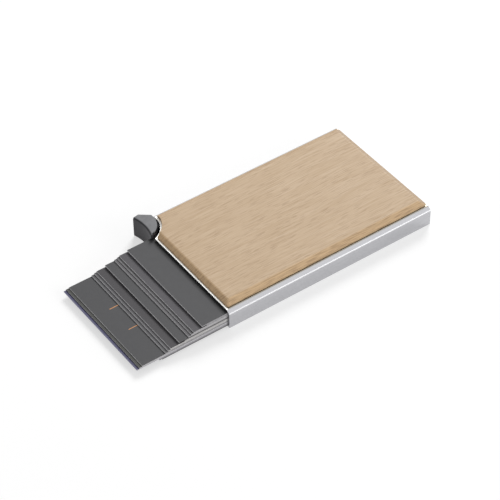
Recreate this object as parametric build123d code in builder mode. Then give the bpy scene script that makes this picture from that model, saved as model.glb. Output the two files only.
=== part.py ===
from build123d import *
from math import atan2, degrees
import os

# A slim card case: an aluminium sleeve with a beech panel on top, a thumb trigger in a notch
# at one corner of its mouth, and a sprung pusher that fans a stack of cards out of the mouth.
# Millimetres, +Z up. The origin is the centre of the sleeve's underside, and the mouth faces -Y.

# Clearances shared by many pieces
fit_gap = 0.05
slide_gap = 0.2
cut_overrun = 1.0

# The cards
card_width = 55.0
card_length = 85.0
card_thickness = 0.47
thin_card_thickness = 0.36
card_gap = 0.02
card_count = 16
thin_card_count = 6
card_side_gap = 0.3
card_floor_gap = 0.1

# How far the foremost card stands out of the mouth, and each card's share of that, from the
# lowest card to the highest
fan_reach = 44.26
card_reach_shares = (
    0.727, 0.757, 0.76, 1.0, 0.974, 0.942, 0.691, 0.661,
    0.633, 0.475, 0.537, 0.435, 0.404, 0.378, 0.232, 0.286,
)
# How many cards each tier of the pusher drives, from the lowest tier up
tier_cards = (6, 3, 2)

# The aluminium sleeve
wall = 0.8
bevel_wall = 0.45
bevel_run = 2.0
bevel_drop = 1.4
crease_radius = 0.9
edge_radius = 0.35
mouth_chamfer = 0.12
roof_gap = 0.44
mouth_inset = 1.5
notch_radius = 11.0
notch_inset = 2.8
notch_outset = 3.7

# The closed end
cap_plate = 1.2
plug_depth = 3.2
screw_shank_radius = 0.75
screw_head_radius = 1.35
screw_head_height = 0.6
screw_length = 5.6
screw_side_inset = 11.5
screw_slot_width = 0.4
screw_slot_depth = 0.3

# The beech panel and the film under it
panel_thickness = 1.8
panel_edge = 0.6
panel_side_margin = 2.4
panel_mouth_margin = 1.0
panel_back_margin = 0.6
panel_side_bevel = 2.8
panel_end_bevel = 2.1
panel_notch_margin = 1.0
panel_rounding = 0.4
film_thickness = 0.2
film_inset = 0.6

# The rail that lies along the -X wall, its cover, and its cross walls
rail_width = 9.75
rail_setback = 7.4
rail_wall = 0.8
rail_floor = 0.75
rail_notch_gap = 0.4
lip_width = 0.8
cross_wall = 1.1
spring_stop_place = 18.0
bar_guide_start = 20.0
bar_guide_length = 10.0
bar_guide_width = 0.6

# The pusher
pusher_depth = 13.75
push_gap = 0.05
end_gap = 0.3
neck_inset = 0.12
shoe_length = 10.0
shoe_seat = 5.25
web_thickness = 0.9
shoe_rest_gap = 0.4
tongue_thickness = 1.0
tongue_height = 2.6
tongue_cover = 0.2
pusher_chamfer = 0.2

# The guide rod and the drive spring round it
rod_radius = 1.0
rod_inset = 4.15
rod_running_gap = 0.05
rod_support = 1.8
rod_blind_depth = 1.5
drive_spring_radius = 1.95
drive_spring_wire_radius = 0.25
drive_spring_turns = 11

# The trigger: its thumb piece in the notch, its root block and the bar to the brake
thumb_gap = 1.5
thumb_back_gap = 0.95
thumb_base = 0.5
thumb_top = 10.6
thumb_front = 1.2
thumb_ear = 2.5
thumb_shoulder_inset = 1.0
thumb_ear_slope = 4.4
thumb_scoop = 1.2
thumb_nose = 0.6
thumb_overhang_gap = 0.3
thumb_rounding = 0.4
thumb_crown_shares = (0.6, 0.8)
trigger_stroke = 0.8
root_width = 4.4
root_rear = 12.5
bar_width = 2.0
bar_height = 2.0
bar_inset = 2.35
bar_head_gap = 0.45
trigger_spring_radius = 1.3
trigger_spring_wire_radius = 0.18
trigger_spring_turns = 5

# The brake: a wedge-driven slide with a rubber pad against the pusher's tongue
brake_length = 4.0
brake_height = 3.15
brake_back_room = 1.95
wedge_ratio_share = 0.5
wedge_gap = 0.06
post_width = 2.3
pad_thickness = 0.85
pad_inset = 0.4
pad_gap = 0.05
brake_spring_radius = 0.95
brake_spring_wire_radius = 0.15
brake_spring_turns = 6
brake_pocket_radius = 1.25
brake_pocket_depth = 2.4

# The leaf springs on the sleeve's roof
leaf_thickness = 0.15
leaf_width = 6.0
leaf_length = 34.0
leaf_tab = 5.0
leaf_setback = 18.0
leaf_card_gap = 0.08
leaf_side_inset = 9.5

# Sizes that follow
screw_taper = degrees(atan2(screw_head_radius - screw_shank_radius, screw_head_height))
card_thicknesses = [thin_card_thickness] * thin_card_count
card_thicknesses += [card_thickness] * (card_count - thin_card_count)
stack_height = sum(card_thicknesses) + (card_count - 1) * card_gap
inner_height = card_floor_gap + stack_height + roof_gap
inner_width = fit_gap + rail_width + card_side_gap + card_width + card_side_gap
case_height = inner_height + 2 * wall
case_width = inner_width + 2 * wall
case_length = mouth_inset + card_length + push_gap + pusher_depth + end_gap + plug_depth + cap_plate

mouth_y = -case_length / 2
back_y = case_length / 2
plate_y = back_y - cap_plate
plug_y = plate_y - plug_depth
roof_z = case_height - wall
side_x = case_width / 2
inner_x = inner_width / 2

notch_x = -side_x + notch_inset
notch_y = mouth_y - notch_outset

stack_z = wall + card_floor_gap
card_right = inner_x - card_side_gap
card_left = card_right - card_width
stowed_rear = mouth_y + mouth_inset + card_length

card_fronts = [mouth_y - fan_reach * share for share in card_reach_shares]
card_rears = [front + card_length for front in card_fronts]
card_levels = [stack_z + sum(card_thicknesses[:index]) + index * card_gap for index in range(card_count)]
stack_top = card_levels[-1] + card_thicknesses[-1]

# The pusher's tiers: each one's driving face, and the level of its top
tier_ends = [sum(tier_cards[: index + 1]) for index in range(len(tier_cards))]
tier_starts = [end - count for end, count in zip(tier_ends, tier_cards)]
tier_faces = [max(card_rears[start:end]) + push_gap for start, end in zip(tier_starts, tier_ends)]
tier_tops = [card_levels[end] - fit_gap for end in tier_ends]
pusher_travel = stowed_rear + push_gap - tier_faces[0]
pusher_rear = tier_faces[0] + pusher_depth
pusher_left = card_left + slide_gap
pusher_right = inner_x - card_side_gap

rail_left = -inner_x + fit_gap
rail_right = rail_left + rail_width
rail_front = mouth_y + rail_setback
rail_back = plug_y - fit_gap
rail_base = wall + fit_gap
rail_top = roof_z - fit_gap
channel_left = rail_left + rail_wall
channel_right = rail_right - lip_width
channel_floor = rail_base + rail_floor
channel_roof = rail_top - rail_floor

neck_base = card_levels[tier_starts[1]] + neck_inset
neck_top = tier_tops[1] - neck_inset
slot_base = neck_base - slide_gap
slot_top = neck_top + slide_gap

shoe_left = channel_left + slide_gap
shoe_right = channel_right - slide_gap
shoe_back = tier_faces[0] + shoe_seat
shoe_front = shoe_back - shoe_length
shoe_base = channel_floor + slide_gap
shoe_top = channel_roof - slide_gap
tongue_right = shoe_right
tongue_left = tongue_right - tongue_thickness
tongue_top = shoe_base + tongue_height

rod_x = rail_left + rod_inset
rod_z = (channel_floor + channel_roof) / 2
support_back = shoe_front - shoe_rest_gap
support_front = support_back - rod_support
cross_right = tongue_left - slide_gap

brake_back = support_front - slide_gap
brake_front = brake_back - brake_length
brake_left = channel_left + brake_back_room
brake_base = channel_floor + slide_gap
brake_top = brake_base + brake_height
pad_right = tongue_left - pad_gap
pad_left = pad_right - pad_thickness
brake_y = (brake_front + brake_back) / 2
brake_z = (brake_base + brake_top) / 2
pocket_end = brake_left + brake_pocket_depth
tongue_front = brake_front - tongue_cover - pusher_travel

bar_left = channel_left + bar_inset
bar_right = bar_left + bar_width
bar_top = channel_roof - bar_head_gap
bar_base = bar_top - bar_height
bar_tip = support_front - slide_gap - trigger_stroke
bar_heel = bar_tip - bar_width / wedge_ratio_share
low_wall_top = bar_base - slide_gap

root_left = channel_left + slide_gap
root_right = root_left + root_width
root_back = mouth_y + root_rear
root_base = channel_floor + slide_gap
root_top = channel_roof - slide_gap
spring_stop_front = mouth_y + spring_stop_place
spring_stop_back = spring_stop_front + cross_wall
trigger_spring_z = (root_base + low_wall_top) / 2
trigger_spring_x = (root_left + root_right) / 2

panel_base = case_height + film_thickness
panel_front = mouth_y + panel_mouth_margin
panel_back = back_y - panel_back_margin
panel_half = side_x - panel_side_margin

os.makedirs("parts", exist_ok=True)


def sleeve_outline(inset, bevel_inset):
    """The corners of the sleeve's section, drawn in by inset, and along the bevels by bevel_inset."""
    slope = (bevel_run**2 + bevel_drop**2) ** 0.5
    out_share = bevel_drop / slope
    up_share = bevel_run / slope
    reach = (side_x - bevel_run) * out_share + case_height * up_share - bevel_inset
    half = side_x - inset
    top = case_height - inset
    shoulder = (reach - half * out_share) / up_share
    crown = (reach - top * up_share) / out_share
    return [
        (-half, inset), (half, inset), (half, shoulder),
        (crown, top), (-crown, top), (-half, shoulder),
    ]


def round_section(section):
    """Rounds the sleeve's outline: its two side creases by crease_radius, the rest by edge_radius."""
    fillet(section.vertices().group_by(Axis.Y)[1], crease_radius)
    for level in (0, -1):
        fillet(section.vertices().group_by(Axis.Y)[level], edge_radius)


def block(x_low, x_high, y_low, y_high, z_low, z_high, mode=Mode.ADD):
    """A rectangular block between two opposite corners, in the piece being made."""
    with Locations((x_low, y_low, z_low)):
        Box(x_high - x_low, y_high - y_low, z_high - z_low, align=Align.MIN, mode=mode)


def screw_shape(gap, length, mode=Mode.ADD):
    """The screws' heads and shanks, or with a gap the space for them, in the piece being made."""
    screw_y = (plug_y + plate_y) / 2
    spacing = 2 * (side_x - screw_side_inset)
    for radius, depth, taper in (
        (screw_head_radius + gap, screw_head_height, screw_taper),
        (screw_shank_radius + gap, length + gap, 0),
    ):
        with BuildSketch(Plane.XY) as rounds:
            with GridLocations(spacing, 0, 2, 1):
                with Locations((0, screw_y)):
                    Circle(radius)
        extrude(rounds.sketch, amount=depth, taper=taper, mode=mode)


def coil_spring(start, direction, length, radius, wire_radius, turns):
    """A coil spring of round wire, whose centre line starts at start and is length long."""
    with BuildPart() as coil:
        with BuildLine() as path:
            Helix(length / turns, length, radius, center=start, direction=direction)
        with BuildSketch(Plane(origin=path.line @ 0, z_dir=path.line % 0)):
            Circle(wire_radius)
        sweep(is_frenet=True)
    return coil


# The sleeve, a tube open at both ends, bevelled along its top, with the thumb piece's notch
with BuildPart() as case_tube:
    with BuildSketch(Plane.XZ.offset(-mouth_y)) as sleeve_section:
        with BuildLine():
            Polyline(*sleeve_outline(0, 0), close=True)
        make_face()
        round_section(sleeve_section)
        with BuildLine():
            Polyline(*sleeve_outline(wall, bevel_wall), close=True)
        make_face(mode=Mode.SUBTRACT)
    extrude(amount=mouth_y - plate_y)
    rim = case_tube.faces().sort_by(Axis.Y)[0].outer_wire().edges()
    chamfer(rim, mouth_chamfer)
    with BuildSketch(Plane.XY.offset(-cut_overrun)):
        with Locations((notch_x, notch_y)):
            Circle(notch_radius)
    extrude(amount=case_height + 2 * cut_overrun, mode=Mode.SUBTRACT)
    screw_shape(fit_gap, wall, mode=Mode.SUBTRACT)
case_tube.part.label = "case_tube"
export_step(case_tube.part, "parts/case_tube.step")

# The end cap: a plate of the sleeve's outline, and the plug that enters the sleeve
with BuildPart() as end_cap:
    with BuildSketch(Plane.XZ.offset(-plate_y)) as cap_section:
        with BuildLine():
            Polyline(*sleeve_outline(0, 0), close=True)
        make_face()
        round_section(cap_section)
    extrude(amount=-cap_plate)
    outline = end_cap.faces().sort_by(Axis.Y)[-1].outer_wire().edges()
    chamfer(outline, mouth_chamfer)
    with BuildSketch(Plane.XZ.offset(-plug_y)):
        with BuildLine():
            Polyline(*sleeve_outline(wall + fit_gap, bevel_wall + fit_gap), close=True)
        make_face()
    extrude(amount=-plug_depth)
    with BuildSketch(Plane.XZ.offset(-plug_y)):
        with Locations((rod_x, rod_z)):
            Circle(rod_radius + fit_gap)
    extrude(amount=-rod_blind_depth - fit_gap, mode=Mode.SUBTRACT)
    screw_shape(fit_gap, screw_length, mode=Mode.SUBTRACT)
end_cap.part.label = "end_cap"
export_step(end_cap.part, "parts/end_cap.step")

# Two countersunk screws, up through the underside into the plug
with BuildPart() as end_cap_screws:
    screw_shape(0, screw_length)
    with BuildSketch(Plane.XY):
        with GridLocations(2 * (side_x - screw_side_inset), 0, 2, 1):
            with Locations((0, (plug_y + plate_y) / 2)):
                Rectangle(2 * screw_head_radius, screw_slot_width)
    extrude(amount=screw_slot_depth, mode=Mode.SUBTRACT)
end_cap_screws.part.label = "end_cap_screws"
export_step(end_cap_screws.part, "parts/end_cap_screws.step")

# The beech panel: low upright edges, wide bevels, and the notch cut straight through
with BuildPart() as wood_panel:
    panel_top = panel_base + panel_thickness
    panel_shoulder = panel_base + panel_edge
    crown_half = panel_half - panel_side_bevel
    with BuildSketch(Plane.XZ.offset(-panel_front)):
        with BuildLine():
            Polyline(
                (-panel_half, panel_base), (panel_half, panel_base), (panel_half, panel_shoulder),
                (crown_half, panel_top), (-crown_half, panel_top), (-panel_half, panel_shoulder),
                close=True,
            )
        make_face()
    extrude(amount=panel_front - panel_back)
    with BuildSketch(Plane.YZ.offset(-panel_half)):
        with BuildLine():
            Polyline(
                (panel_front, panel_base), (panel_back, panel_base), (panel_back, panel_shoulder),
                (panel_back - panel_end_bevel, panel_top), (panel_front + panel_end_bevel, panel_top),
                (panel_front, panel_shoulder), close=True,
            )
        make_face()
    extrude(amount=2 * panel_half, mode=Mode.INTERSECT)
    fillet(wood_panel.edges().group_by(Axis.Z)[-1], panel_rounding)
    with BuildSketch(Plane.XY.offset(panel_base - cut_overrun)):
        with Locations((notch_x, notch_y)):
            Circle(notch_radius + panel_notch_margin)
    extrude(amount=panel_thickness + 2 * cut_overrun, mode=Mode.SUBTRACT)
wood_panel.part.label = "wood_panel"
export_step(wood_panel.part, "parts/wood_panel.step")

# The bonding film, drawn in from the panel's edge
with BuildPart() as bonding_film:
    block(
        -panel_half + film_inset, panel_half - film_inset,
        panel_front + film_inset, panel_back - film_inset, case_height, panel_base,
    )
    with BuildSketch(Plane.XY.offset(case_height - cut_overrun)):
        with Locations((notch_x, notch_y)):
            Circle(notch_radius + panel_notch_margin + film_inset)
    extrude(amount=film_thickness + 2 * cut_overrun, mode=Mode.SUBTRACT)
bonding_film.part.label = "bonding_film"
export_step(bonding_film.part, "parts/bonding_film.step")

# The rail's lower half: floor, back wall, low lip beside the cards, and cross walls
with BuildPart() as side_rail:
    block(rail_left, rail_right, rail_front, rail_back, rail_base, channel_floor)
    block(rail_left, channel_left, rail_front, rail_back, channel_floor, channel_roof)
    block(channel_right, rail_right, rail_front, rail_back, channel_floor, slot_base)
    with BuildSketch(Plane.XZ.offset(-rail_front)):
        with BuildLine():
            Polyline(*sleeve_outline(wall + fit_gap, bevel_wall + fit_gap), close=True)
        make_face()
    extrude(amount=rail_front - rail_back, mode=Mode.INTERSECT)
    # The stop of the trigger spring, under the bar
    block(
        channel_left, root_right, spring_stop_front, spring_stop_back, channel_floor, low_wall_top,
    )
    # The brake's front guide, under the bar
    block(
        channel_left, cross_right, brake_front - slide_gap - cross_wall, brake_front - slide_gap,
        channel_floor, low_wall_top,
    )
    # The rod's support, which is the brake's rear guide too
    block(channel_left, cross_right, support_front, support_back, channel_floor, channel_roof - fit_gap)
    with BuildSketch(Plane.XZ.offset(-support_front)):
        with Locations((rod_x, rod_z)):
            Circle(rod_radius + fit_gap)
    extrude(amount=-rod_support, mode=Mode.SUBTRACT)
    with BuildSketch(Plane.XY.offset(-cut_overrun)):
        with Locations((notch_x, notch_y)):
            Circle(notch_radius + rail_notch_gap)
    extrude(amount=case_height + 2 * cut_overrun, mode=Mode.SUBTRACT)
side_rail.part.label = "side_rail"
export_step(side_rail.part, "parts/side_rail.step")

# The rail's cover: roof, high lip beside the cards, and two ribs that guide the trigger's bar
with BuildPart() as rail_cover:
    block(rail_left, rail_right, rail_front, rail_back, channel_roof, rail_top)
    block(channel_right, rail_right, rail_front, rail_back, slot_top, channel_roof)
    with BuildSketch(Plane.XZ.offset(-rail_front)):
        with BuildLine():
            Polyline(*sleeve_outline(wall + fit_gap, bevel_wall + fit_gap), close=True)
        make_face()
    extrude(amount=rail_front - rail_back, mode=Mode.INTERSECT)
    guide_front = mouth_y + bar_guide_start
    guide_back = guide_front + bar_guide_length
    guide_base = (bar_base + bar_top) / 2
    block(
        bar_left - slide_gap - bar_guide_width, bar_left - slide_gap,
        guide_front, guide_back, guide_base, channel_roof,
    )
    block(
        bar_right + slide_gap, bar_right + slide_gap + bar_guide_width,
        guide_front, guide_back, guide_base, channel_roof,
    )
    with BuildSketch(Plane.XY.offset(-cut_overrun)):
        with Locations((notch_x, notch_y)):
            Circle(notch_radius + rail_notch_gap)
    extrude(amount=case_height + 2 * cut_overrun, mode=Mode.SUBTRACT)
rail_cover.part.label = "rail_cover"
export_step(rail_cover.part, "parts/rail_cover.step")

# The steel rod that the pusher runs on
with BuildPart() as guide_rod:
    with BuildSketch(Plane.XZ.offset(-support_front)):
        with Locations((rod_x, rod_z)):
            Circle(rod_radius)
    extrude(amount=support_front - plug_y - rod_blind_depth)
guide_rod.part.label = "guide_rod"
export_step(guide_rod.part, "parts/guide_rod.step")

# The drive spring round the rod, from the pusher's shoe to the plug
drive_spring = coil_spring(
    (rod_x, shoe_back + drive_spring_wire_radius + fit_gap, rod_z), (0, 1, 0),
    plug_y - shoe_back - 2 * (drive_spring_wire_radius + fit_gap),
    drive_spring_radius, drive_spring_wire_radius, drive_spring_turns,
)
drive_spring.part.label = "drive_spring"
export_step(drive_spring.part, "parts/drive_spring.step")

# The pusher: stepped tiers behind the cards, a neck through the rail's slot, a shoe on the rod
# and a long tongue forward past the brake
with BuildPart() as pusher:
    tier_base = stack_z
    for tier_face, tier_top in zip(tier_faces, tier_tops):
        block(pusher_left, pusher_right, tier_face, pusher_rear, tier_base, tier_top)
        tier_base = tier_top
    rear_edges = pusher.edges().filter_by(Axis.X).group_by(Axis.Y)[-1]
    chamfer(rear_edges, pusher_chamfer)
    block(
        shoe_right - web_thickness, pusher_left, tier_faces[1], pusher_rear - pusher_chamfer,
        neck_base, neck_top,
    )
    block(shoe_left, shoe_right, shoe_front, shoe_back, shoe_base, shoe_top)
    block(
        shoe_right - web_thickness, shoe_right, shoe_front, pusher_rear - pusher_chamfer,
        shoe_base, shoe_top,
    )
    block(tongue_left, tongue_right, tongue_front, shoe_front, shoe_base, tongue_top)
    with BuildSketch(Plane.XZ.offset(-shoe_front)):
        with Locations((rod_x, rod_z)):
            Circle(rod_radius + rod_running_gap)
    extrude(amount=-shoe_length, mode=Mode.SUBTRACT)
pusher.part.label = "pusher"
export_step(pusher.part, "parts/pusher.step")

# The trigger: the scooped thumb piece, the root block inside the rail and the bar to the brake
with BuildPart() as trigger:
    thumb_radius = notch_radius - thumb_gap
    thumb_y = mouth_y - thumb_front
    ear_x = -side_x - thumb_ear
    nose_x = notch_x + (thumb_radius**2 - (thumb_y - notch_y) ** 2) ** 0.5
    shoulder_x = -side_x + thumb_shoulder_inset
    back_radius = notch_radius - thumb_back_gap
    shoulder_y = notch_y + (back_radius**2 - (shoulder_x - notch_x) ** 2) ** 0.5
    crown_radius = (thumb_radius + back_radius) / 2
    crown_x = notch_x + crown_radius * thumb_crown_shares[0]
    crown_y = notch_y + crown_radius * thumb_crown_shares[1]
    with BuildSketch(Plane.XY.offset(thumb_base)):
        with BuildLine():
            ThreePointArc((nose_x, thumb_y), (crown_x, crown_y), (shoulder_x, shoulder_y))
            Line((shoulder_x, shoulder_y), (ear_x, shoulder_y - thumb_ear_slope))
            Line((ear_x, shoulder_y - thumb_ear_slope), (ear_x, thumb_y + thumb_nose))
            Line((ear_x, thumb_y + thumb_nose), (ear_x + thumb_nose, thumb_y))
            ThreePointArc(
                (ear_x + thumb_nose, thumb_y),
                ((ear_x + nose_x) / 2, thumb_y + thumb_scoop),
                (nose_x, thumb_y),
            )
        make_face()
    extrude(amount=thumb_top - thumb_base)
    fillet(trigger.edges().group_by(Axis.Z)[-1], thumb_rounding)
    # The undercut that the cards pass beside
    block(
        rail_right, nose_x + cut_overrun, thumb_y - cut_overrun, rail_front,
        -cut_overrun, stack_top + thumb_overhang_gap, mode=Mode.SUBTRACT,
    )
    block(root_left, root_right, shoulder_y - root_width / 2, root_back, root_base, root_top)
    with BuildSketch(Plane.XY.offset(bar_base)):
        with BuildLine():
            Polyline(
                (bar_left, root_back), (bar_right, root_back), (bar_right, bar_tip),
                (bar_left, bar_heel), close=True,
            )
        make_face()
    extrude(amount=bar_height)
trigger.part.label = "trigger"
export_step(trigger.part, "parts/trigger.step")

# The spring that returns the trigger
trigger_spring = coil_spring(
    (trigger_spring_x, root_back + trigger_spring_wire_radius + fit_gap, trigger_spring_z), (0, 1, 0),
    spring_stop_front - root_back - 2 * (trigger_spring_wire_radius + fit_gap),
    trigger_spring_radius, trigger_spring_wire_radius, trigger_spring_turns,
)
trigger_spring.part.label = "trigger_spring"
export_step(trigger_spring.part, "parts/trigger_spring.step")

# The brake slide: a guided block with a wedge-faced post that the trigger's bar drives
with BuildPart() as brake_slide:
    block(brake_left, pad_left, brake_front, brake_back, brake_base, brake_top)
    ramp_x = bar_right - wedge_gap
    post_right = min(brake_left + post_width, ramp_x)
    post_turn = bar_tip - (ramp_x - post_right) / wedge_ratio_share
    ramp_start = ramp_x - (bar_tip - brake_front) * wedge_ratio_share
    with BuildSketch(Plane.XY.offset(brake_top)):
        with BuildLine():
            Polyline(
                (brake_left, brake_front), (ramp_start, brake_front), (post_right, post_turn),
                (post_right, brake_back), (brake_left, brake_back), close=True,
            )
        make_face()
    extrude(amount=bar_top - brake_top)
    with BuildSketch(Plane.YZ.offset(brake_left)):
        with Locations((brake_y, brake_z)):
            Circle(brake_pocket_radius)
    extrude(amount=brake_pocket_depth, mode=Mode.SUBTRACT)
brake_slide.part.label = "brake_slide"
export_step(brake_slide.part, "parts/brake_slide.step")

# The rubber pad on the brake slide
with BuildPart() as brake_pad:
    block(
        pad_left, pad_right, brake_front + pad_inset, brake_back - pad_inset,
        brake_base + pad_inset, tongue_top - pad_inset,
    )
brake_pad.part.label = "brake_pad"
export_step(brake_pad.part, "parts/brake_pad.step")

# The spring that presses the brake on
brake_spring = coil_spring(
    (channel_left + brake_spring_wire_radius + fit_gap, brake_y, brake_z), (1, 0, 0),
    pocket_end - channel_left - 2 * (brake_spring_wire_radius + fit_gap),
    brake_spring_radius, brake_spring_wire_radius, brake_spring_turns,
)
brake_spring.part.label = "brake_spring"
export_step(brake_spring.part, "parts/brake_spring.step")

# Two leaf springs under the roof, bowed towards the top card
leaf_names = ("left_card_leaf", "right_card_leaf")
leaf_lefts = (card_left + leaf_side_inset, card_right - leaf_side_inset - leaf_width)
leaf_bow = roof_z - leaf_thickness - stack_top - leaf_card_gap
leaf_front = mouth_y + leaf_setback
for leaf_name, leaf_left in zip(leaf_names, leaf_lefts):
    with BuildPart() as leaf:
        with BuildSketch(Plane.YZ.offset(leaf_left)):
            with BuildLine():
                bow_start = leaf_front + leaf_tab
                bow_end = leaf_front + leaf_length
                bow_middle = (bow_start + bow_end) / 2
                Line((leaf_front, roof_z), (bow_start, roof_z))
                ThreePointArc((bow_start, roof_z), (bow_middle, roof_z - leaf_bow), (bow_end, roof_z))
                Line((bow_end, roof_z), (bow_end, roof_z - leaf_thickness))
                ThreePointArc(
                    (bow_end, roof_z - leaf_thickness),
                    (bow_middle, roof_z - leaf_bow - leaf_thickness),
                    (bow_start, roof_z - leaf_thickness),
                )
                Line((bow_start, roof_z - leaf_thickness), (leaf_front, roof_z - leaf_thickness))
                Line((leaf_front, roof_z - leaf_thickness), (leaf_front, roof_z))
            make_face()
        extrude(amount=leaf_width)
    leaf.part.label = leaf_name
    export_step(leaf.part, "parts/" + leaf_name + ".step")

# The cards, from the lowest to the highest
for index in range(card_count):
    card_name = f"card_{index + 1:02d}"
    with BuildPart() as card:
        block(
            card_left, card_right, card_fronts[index], card_rears[index],
            card_levels[index], card_levels[index] + card_thicknesses[index],
        )
    card.part.label = card_name
    export_step(card.part, "parts/" + card_name + ".step")

stowed_moves = [stowed_rear - rear for rear in card_rears]
print("sleeve", round(case_width, 3), round(case_length, 3), round(case_height, 3))
print("pusher travel", round(pusher_travel, 4), "rear at rest", round(pusher_rear, 3))
print("card ratios", [round(move / pusher_travel, 5) for move in stowed_moves])
print("card moves", [round(move, 4) for move in stowed_moves])
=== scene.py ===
import math

import bmesh
import bpy
from mathutils import Matrix, Vector


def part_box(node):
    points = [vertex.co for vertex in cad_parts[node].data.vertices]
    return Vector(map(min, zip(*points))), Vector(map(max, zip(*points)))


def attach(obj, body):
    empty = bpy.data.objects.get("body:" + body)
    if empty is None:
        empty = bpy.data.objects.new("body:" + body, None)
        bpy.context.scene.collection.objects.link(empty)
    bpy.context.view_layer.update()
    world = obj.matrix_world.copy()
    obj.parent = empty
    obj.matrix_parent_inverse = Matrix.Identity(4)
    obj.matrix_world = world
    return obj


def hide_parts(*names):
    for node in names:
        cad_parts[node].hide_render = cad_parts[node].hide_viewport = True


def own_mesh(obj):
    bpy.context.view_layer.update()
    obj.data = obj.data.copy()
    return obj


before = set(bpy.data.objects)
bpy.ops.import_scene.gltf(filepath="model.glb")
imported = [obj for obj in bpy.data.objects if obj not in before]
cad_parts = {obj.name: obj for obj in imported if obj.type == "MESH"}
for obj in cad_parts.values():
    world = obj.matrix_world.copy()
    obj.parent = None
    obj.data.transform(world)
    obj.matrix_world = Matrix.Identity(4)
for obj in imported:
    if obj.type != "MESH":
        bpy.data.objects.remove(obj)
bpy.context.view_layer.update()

# Lengths are metres and angles degrees. Colours are written as 8-bit sRGB values.
MM = 0.001

# The camera: where it looks, from where, and its focal length for the square picture
CAMERA_TARGET = Vector((5.156, -21.943, 5.0)) * MM
CAMERA_AZIMUTH = 54.995
CAMERA_ELEVATION = 43.619
CAMERA_ROLL = -0.965
CAMERA_DISTANCE = 0.8484
SENSOR_WIDTH = 36.0
FOCAL_LENGTH = 145.73
CLIP_START = 10 * MM
CLIP_END = 20.0

# Light: the surround, and two softboxes behind the case, a high one on its -X side and a low one
# on its +X side
WORLD_LEVEL = 0.36
KEY_DIRECTION = Vector((-0.85, 1.05, 1.0))
KEY_DISTANCE = 4.0
KEY_SIZE = 1.7
KEY_POWER = 122.0
SIDE_DIRECTION = Vector((0.85, 0.6, 0.3))
SIDE_DISTANCE = 4.0
SIDE_SIZE = 2.4
SIDE_POWER = 56.0

# The floor: its width, its depth below the case, and the glow that the camera sees on it
FLOOR_SIZE = 12.0
FLOOR_DROP = 0.05 * MM
FLOOR_COLOUR = (188, 188, 188)
FLOOR_LIFT = 0.575

# Colours of the beech, of the sleeve, of the thumb piece and of the rest
BEECH = (205, 179, 147)
# The bevels' grounds are copies of the beech painted for how the light falls on each: the +X bevel
# painted lighter, the mouth bevel warmer with light painted in, the back bevel painted darker against
# the key lamp
BEECH_SIDE_LIT = (222, 189, 147)
BEECH_MOUTH_LIT = (209, 177, 137)
BEECH_BACK_SHADED = (178, 158, 134)
BEECH_STREAK = (185, 157, 124)
BEECH_FLECK = (164, 134, 103)
ALUMINIUM = (191, 191, 194)
ALUMINIUM_DARK = (173, 173, 178)
ALUMINIUM_PALE = (203, 203, 205)
ALUMINIUM_CUT = (251, 251, 249)
# The panel's shadow and reflection, painted on the sleeve's ledge beside its +X side
LEDGE_PAINTED_SHADE = (150, 144, 132)
ALUMINIUM_EDGE = (196, 196, 198)
THUMB = (118, 118, 121)
# The thumb's lip and walls: painted shade
THUMB_LIP_SHADE = (38, 37, 40)
THUMB_WALL_SHADE = (68, 66, 70)
MOULDING = (38, 38, 40)
STEEL = (170, 170, 174)
STEEL_DARK = (130, 130, 134)
RUBBER = (30, 30, 30)
FILM = (92, 80, 66)

# The cards: their faces, their front edges and the tints of their long edges, lowest card first
CARD_FACE = (76, 76, 78)
CARD_RIM = (185, 185, 185)
# The top card's painted shadow under the mouth
MOUTH_SHADOW_COLOUR = (30, 30, 31)
CARD_FRONT = (238, 238, 240)
DASH = (212, 152, 100)
# Cards 07, 08, 12, 13 and 14 have lighter face tints: painted light that offsets the shade cast by
# the card steps above them; cards 04 and 05 carry their print
FACE_TINTS = {
    "card_04": (90, 89, 120), "card_05": (77, 77, 74), "card_07": (95, 94, 97),
    "card_08": (95, 94, 97), "card_09": (71, 69, 72), "card_12": (105, 103, 106),
    "card_13": (88, 87, 89), "card_14": (85, 83, 87),
}
FRONT_TINTS = {"card_04": (104, 100, 160), "card_05": (60, 60, 58)}
# The three lowest cards' edges darken towards the floor: painted shade
EDGE_TINTS = (
    (126, 124, 127), (176, 174, 178), (206, 204, 208), (238, 236, 240),
    (250, 248, 251), (232, 230, 233), (186, 184, 186), (236, 234, 234),
    (252, 250, 247), (214, 212, 211), (98, 96, 98), (222, 220, 222),
    (230, 228, 230), (218, 216, 218), (200, 198, 201), (208, 206, 209),
)

case_low, case_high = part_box("case_tube")
panel_low, panel_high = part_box("wood_panel")
trigger_low, trigger_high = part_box("trigger")

# The notch at the mouth's -X corner, the panel's own cut round it, and how much further forward
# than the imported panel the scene's panel reaches
NOTCH_INSET = 2.8 * MM
NOTCH_OVERHANG = 3.7 * MM
NOTCH_CENTRE = Vector((case_low.x + NOTCH_INSET, case_low.y - NOTCH_OVERHANG, 0))
NOTCH_RADIUS = 11.0 * MM
PANEL_NOTCH_RADIUS = 11.8 * MM
PANEL_FRONT_REACH = 0.25 * MM

# The values over which a noise usually shows: nearly all of them, or all but the lowest
NOISE_MOST = (0.3, 0.7)
NOISE_UPPER = (0.35, 0.7)
NOISE_MEAN = 0.5


def linear(colour):
    """An 8-bit sRGB colour as the linear colour that a shader takes."""
    shares = [value / 255 for value in colour]
    return (*[s / 12.92 if s <= 0.04045 else ((s + 0.055) / 1.055) ** 2.4 for s in shares], 1.0)


def scaled(colour, share):
    """A darker or lighter copy of a colour."""
    return tuple(value * share for value in colour)


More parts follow.
